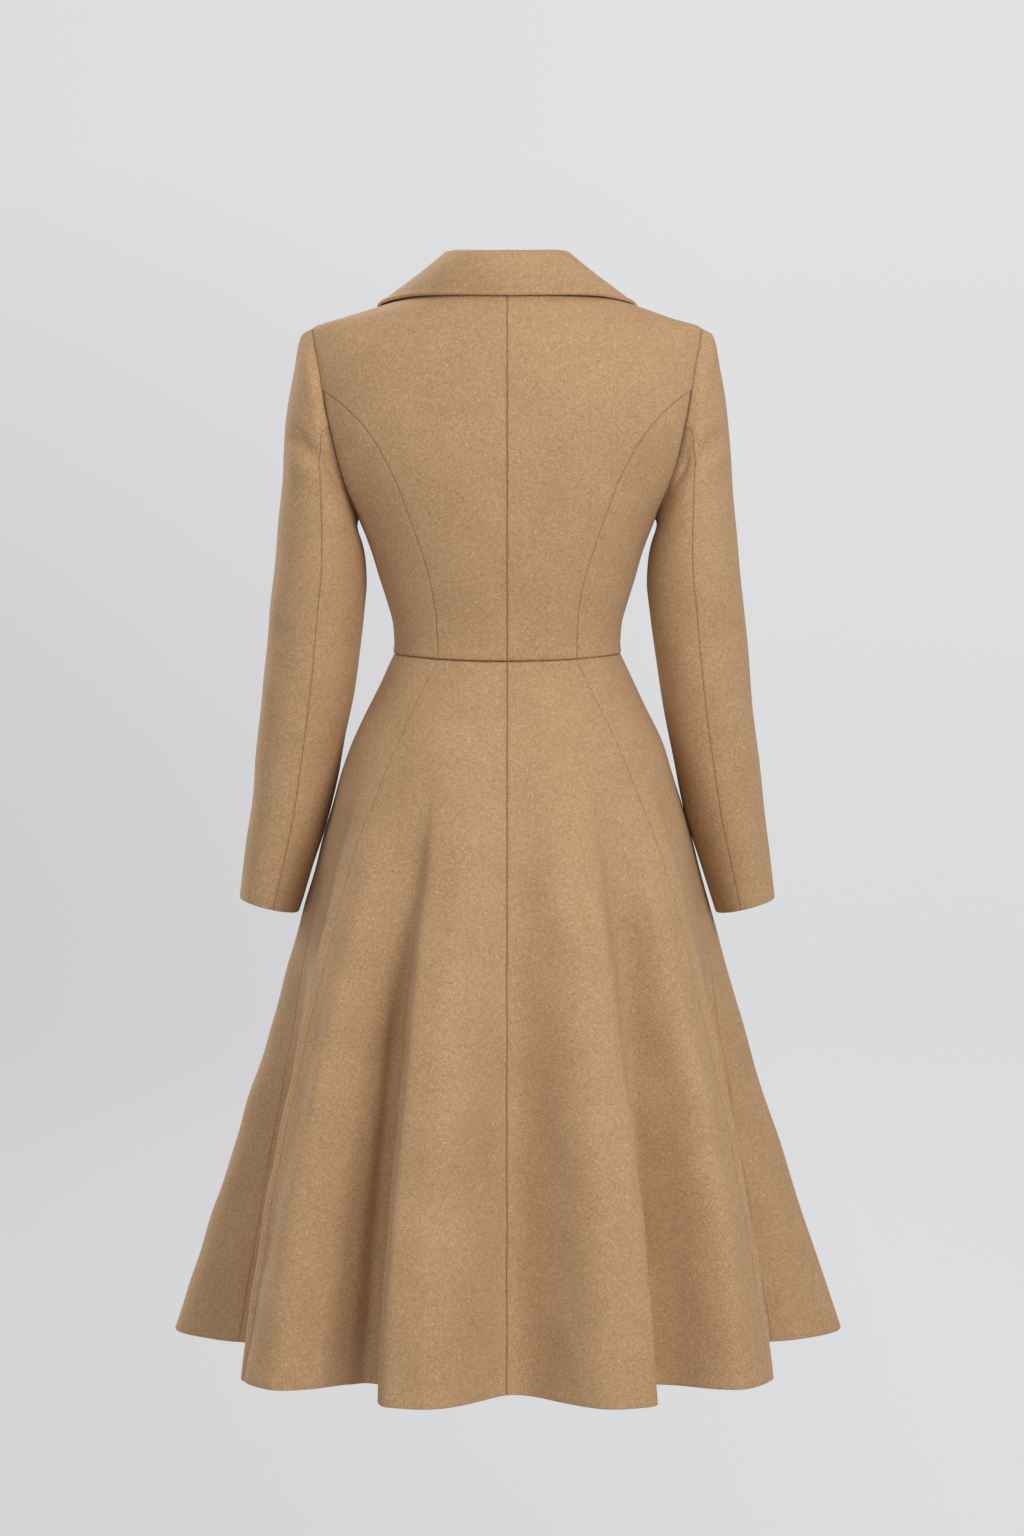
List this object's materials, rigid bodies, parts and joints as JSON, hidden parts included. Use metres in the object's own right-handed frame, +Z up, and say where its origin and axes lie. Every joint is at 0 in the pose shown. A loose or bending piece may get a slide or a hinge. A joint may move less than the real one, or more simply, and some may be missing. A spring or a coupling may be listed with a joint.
{
  "type": "flared coat",
  "caption": "Fitted princess-seamed wool coat with a turned collar, set-in sleeves and a gored skirt that flares in soft folds, in its worn, hollow form.",
  "frame": {"origin": "midway between the two points where the shoulder seams meet the neck, where the coat hangs on its wearer", "axes": "+Z up, the front of the coat faces -Y, the wearer's left is +X"},
  "size_m": [0.7103, 0.574, 1.138],
  "materials": {
    "wool": "felted camel wool with a short nap",
    "button": "polished dark horn"
  },
  "bodies": {
    "root": {"bodice_back_centre_left": "wool", "bodice_back_centre_right": "wool", "bodice_back_side_left": "wool", "bodice_back_side_right": "wool", "bodice_front_centre_left": "wool", "bodice_front_centre_right": "wool", "bodice_front_side_left": "wool", "bodice_front_side_right": "wool", "skirt_back_centre_left": "wool", "skirt_back_centre_right": "wool", "skirt_back_side_left": "wool", "skirt_back_side_right": "wool", "skirt_front_centre_left": "wool", "skirt_front_centre_right": "wool", "skirt_front_side_left": "wool", "skirt_front_side_right": "wool", "sleeve_upper_left": "wool", "sleeve_upper_right": "wool", "sleeve_under_left": "wool", "sleeve_under_right": "wool", "collar": "wool", "button_1": "button", "button_2": "button", "button_3": "button", "button_4": "button", "button_5": "button"}
  },
  "joints": []
}
